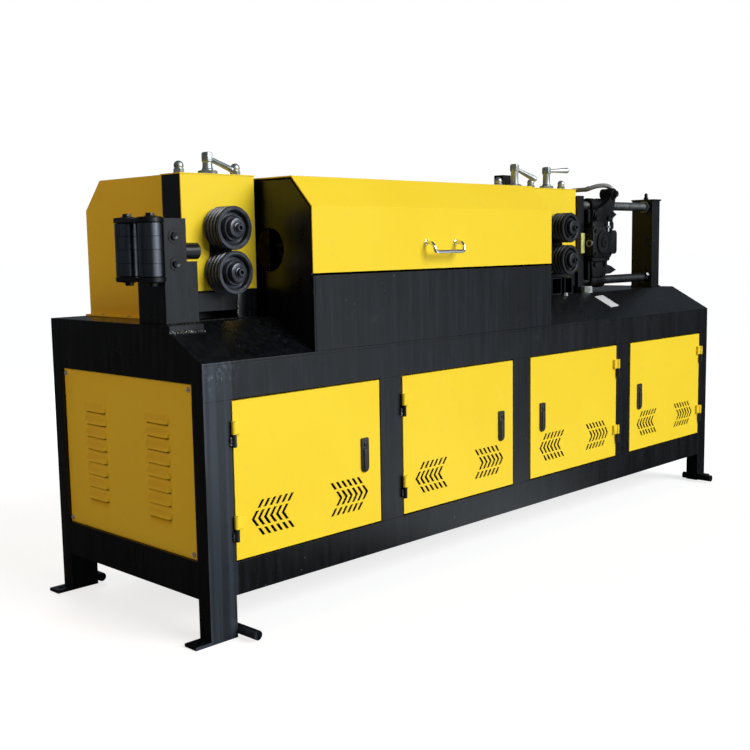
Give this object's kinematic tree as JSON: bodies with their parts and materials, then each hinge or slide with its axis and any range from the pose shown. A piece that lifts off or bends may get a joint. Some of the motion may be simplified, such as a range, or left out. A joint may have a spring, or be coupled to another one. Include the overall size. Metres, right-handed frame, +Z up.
{
  "type": "rebar straightening and cutting machine",
  "caption": "Floor-standing machine that feeds, straightens and cuts bar: a yellow and black cabinet with doors, roller drives, a hinged hood and a cutter that slides on guide rods.",
  "frame": {"origin": "centre of the four foot-bolt holes, on the floor under the middle of the cabinet", "axes": "+X along the bar's travel from infeed to outfeed, +Y from the front doors to the back, +Z up"},
  "size_m": [2.521, 0.798, 1.185],
  "materials": {
    "yellow_paint": "gloss",
    "black_paint": "semi-gloss",
    "cast_black": "painted casting",
    "zinc": "zinc plated",
    "chrome": "polished",
    "roller_steel": "oiled and turned",
    "rod_steel": "ground",
    "latch_plastic": "satin",
    "hose_rubber": "dull"
  },
  "bodies": {
    "machine": {"legs": "black_paint", "bottom_rails": "black_paint", "top_rails": "black_paint", "door_posts": "black_paint", "deck_plate": "black_paint", "end_plates": "black_paint", "floor_pan": "black_paint", "end_panels": "yellow_paint", "rear_panels": "yellow_paint", "door_hinges": "black_paint", "hood_end_plates": "black_paint", "hood_base": "black_paint", "hood_rear_cover": "yellow_paint", "hood_hinges": "zinc", "straightening_drum": "roller_steel", "drum_bearings": "black_paint", "infeed_gearbox": "black_paint", "outfeed_gearbox": "black_paint", "face_plates": "yellow_paint", "drive_housings": "yellow_paint", "hydraulic_block": "cast_black", "crank_nuts": "zinc", "cap_nuts": "zinc", "guide_bracket": "black_paint", "inlet_tube": "black_paint", "guide_frame": "black_paint", "rod_plate": "black_paint", "guide_rods": "rod_steel", "end_post": "black_paint", "cutter_hose": "hose_rubber", "hose_fitting": "zinc"},
    "first_door": {"door_1": "yellow_paint", "door_latch_1": "latch_plastic"},
    "second_door": {"door_2": "yellow_paint", "door_latch_2": "latch_plastic"},
    "third_door": {"door_3": "yellow_paint", "door_latch_3": "latch_plastic"},
    "fourth_door": {"door_4": "yellow_paint", "door_latch_4": "latch_plastic"},
    "hood": {"hood_cover": "yellow_paint", "hood_handle": "chrome"},
    "infeed_lower": {"infeed_roller_lower": "roller_steel"},
    "infeed_upper": {"infeed_roller_upper": "roller_steel"},
    "outfeed_1_lower": {"outfeed_roller_1_lower": "roller_steel"},
    "outfeed_1_upper": {"outfeed_roller_1_upper": "roller_steel"},
    "outfeed_2_lower": {"outfeed_roller_2_lower": "roller_steel"},
    "outfeed_2_upper": {"outfeed_roller_2_upper": "roller_steel"},
    "near_guide": {"guide_roller_near": "roller_steel"},
    "far_guide": {"guide_roller_far": "roller_steel"},
    "infeed_clamp": {"infeed_crank": "zinc"},
    "outfeed_clamp_1": {"outfeed_crank_1": "zinc"},
    "outfeed_clamp_2": {"outfeed_crank_2": "zinc"},
    "cutter": {"cutter_head": "cast_black", "cutter_cover": "cast_black"}
  },
  "joints": [
    {"name": "door_1_hinge", "type": "hinge", "parent": "machine", "child": "first_door", "pos_m": [-1.119, -0.342, 0.38], "axis": [0, 0, -1], "range_deg": [0, 110]},
    {"name": "door_2_hinge", "type": "hinge", "parent": "machine", "child": "second_door", "pos_m": [-0.53225, -0.342, 0.38], "axis": [0, 0, -1], "range_deg": [0, 110]},
    {"name": "door_3_hinge", "type": "hinge", "parent": "machine", "child": "third_door", "pos_m": [0.55325, -0.342, 0.38], "axis": [0, 0, 1], "range_deg": [0, 110]},
    {"name": "door_4_hinge", "type": "hinge", "parent": "machine", "child": "fourth_door", "pos_m": [1.14, -0.342, 0.38], "axis": [0, 0, 1], "range_deg": [0, 110]},
    {"name": "hood_hinge", "type": "hinge", "parent": "machine", "child": "hood", "pos_m": [-0.342, 0.205, 1.112], "axis": [-1, 0, 0], "range_deg": [0, 100]},
    {"name": "infeed_lower_spin", "type": "hinge", "parent": "machine", "child": "infeed_lower", "pos_m": [-0.982, -0.169, 0.867], "axis": [0, 1, 0], "continuous": true},
    {"name": "infeed_upper_spin", "type": "hinge", "parent": "machine", "child": "infeed_upper", "pos_m": [-0.982, -0.169, 0.977], "axis": [0, 1, 0], "continuous": true},
    {"name": "outfeed_1_lower_spin", "type": "hinge", "parent": "machine", "child": "outfeed_1_lower", "pos_m": [0.2955, -0.169, 0.867], "axis": [0, 1, 0], "continuous": true},
    {"name": "outfeed_1_upper_spin", "type": "hinge", "parent": "machine", "child": "outfeed_1_upper", "pos_m": [0.2955, -0.169, 0.977], "axis": [0, 1, 0], "continuous": true},
    {"name": "outfeed_2_lower_spin", "type": "hinge", "parent": "machine", "child": "outfeed_2_lower", "pos_m": [0.4785, -0.169, 0.867], "axis": [0, 1, 0], "continuous": true},
    {"name": "outfeed_2_upper_spin", "type": "hinge", "parent": "machine", "child": "outfeed_2_upper", "pos_m": [0.4785, -0.169, 0.977], "axis": [0, 1, 0], "continuous": true},
    {"name": "near_guide_spin", "type": "hinge", "parent": "machine", "child": "near_guide", "pos_m": [-1.243, -0.2165, 0.922], "axis": [0, 0, 1], "continuous": true},
    {"name": "far_guide_spin", "type": "hinge", "parent": "machine", "child": "far_guide", "pos_m": [-1.243, -0.1215, 0.922], "axis": [0, 0, 1], "continuous": true},
    {"name": "infeed_crank_turn", "type": "hinge", "parent": "machine", "child": "infeed_clamp", "pos_m": [-0.982, -0.093, 1.112], "axis": [0, 0, 1], "continuous": true},
    {"name": "outfeed_crank_1_turn", "type": "hinge", "parent": "machine", "child": "outfeed_clamp_1", "pos_m": [0.2955, -0.093, 1.112], "axis": [0, 0, 1], "continuous": true},
    {"name": "outfeed_crank_2_turn", "type": "hinge", "parent": "machine", "child": "outfeed_clamp_2", "pos_m": [0.4785, -0.093, 1.112], "axis": [0, 0, 1], "continuous": true},
    {"name": "cutter_slide", "type": "slide", "parent": "machine", "child": "cutter", "axis": [1, 0, 0], "range_m": [0, 0.15], "deforming": ["cutter_hose"]}
  ],
  "couplings": [
    {"joint": "infeed_upper_spin", "follows": "infeed_lower_spin", "ratio": -1},
    {"joint": "outfeed_1_lower_spin", "follows": "infeed_lower_spin", "ratio": 1},
    {"joint": "outfeed_1_upper_spin", "follows": "infeed_lower_spin", "ratio": -1},
    {"joint": "outfeed_2_lower_spin", "follows": "infeed_lower_spin", "ratio": 1},
    {"joint": "outfeed_2_upper_spin", "follows": "infeed_lower_spin", "ratio": -1}
  ]
}
